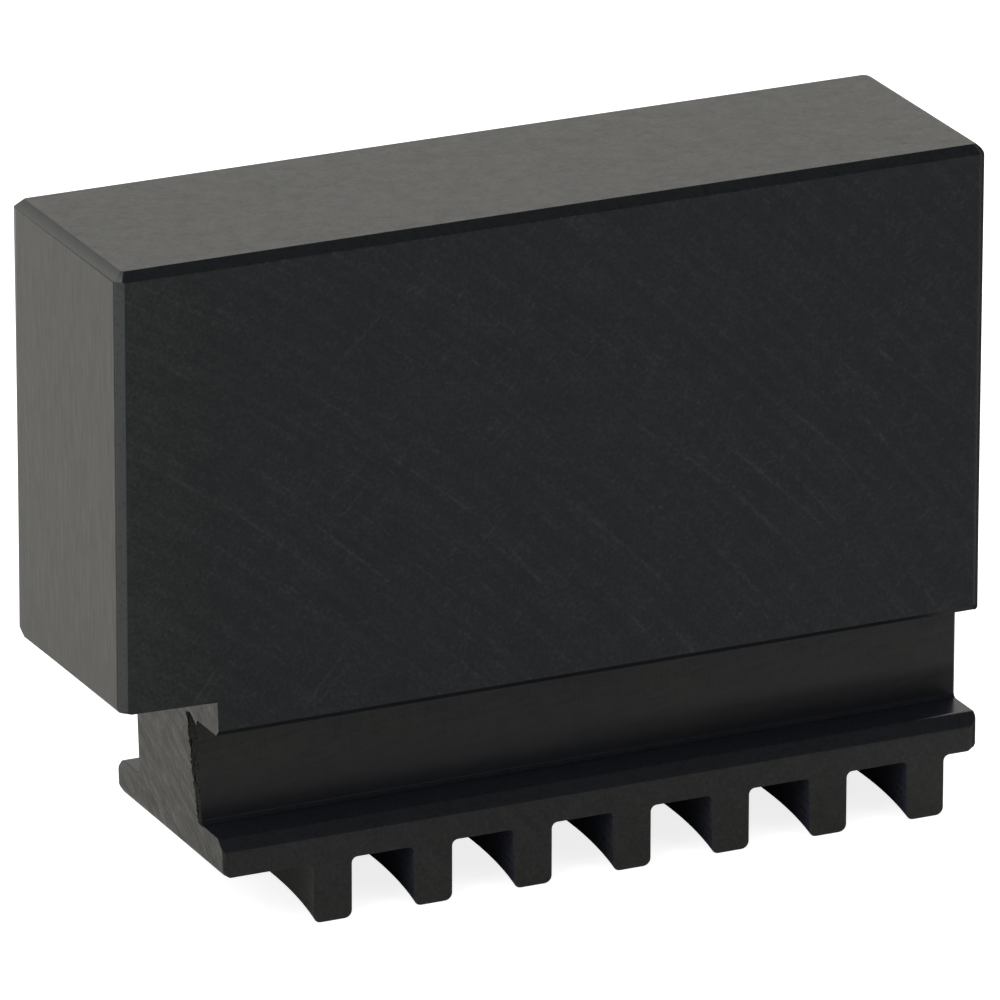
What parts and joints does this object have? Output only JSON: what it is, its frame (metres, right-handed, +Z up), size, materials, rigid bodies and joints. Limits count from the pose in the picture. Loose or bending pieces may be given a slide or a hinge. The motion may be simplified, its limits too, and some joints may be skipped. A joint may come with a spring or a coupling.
{
  "type": "scroll chuck soft jaw",
  "caption": "Blank steel block jaw with scroll teeth and side guide grooves, bored or turned by the user to suit the workpiece in a self-centring lathe chuck.",
  "frame": {"origin": "middle of the jaw's length and width, at the tips of the scroll teeth", "axes": "+X from the clamping end to the outer end, +Y across the jaw, +Z up from the scroll teeth to the block's top"},
  "size_m": [0.069, 0.019, 0.0518],
  "materials": {
    "black_oxide_steel": "satin black oxide on milled and ground steel"
  },
  "bodies": {
    "root": {"soft_jaw": "black_oxide_steel"}
  },
  "joints": []
}
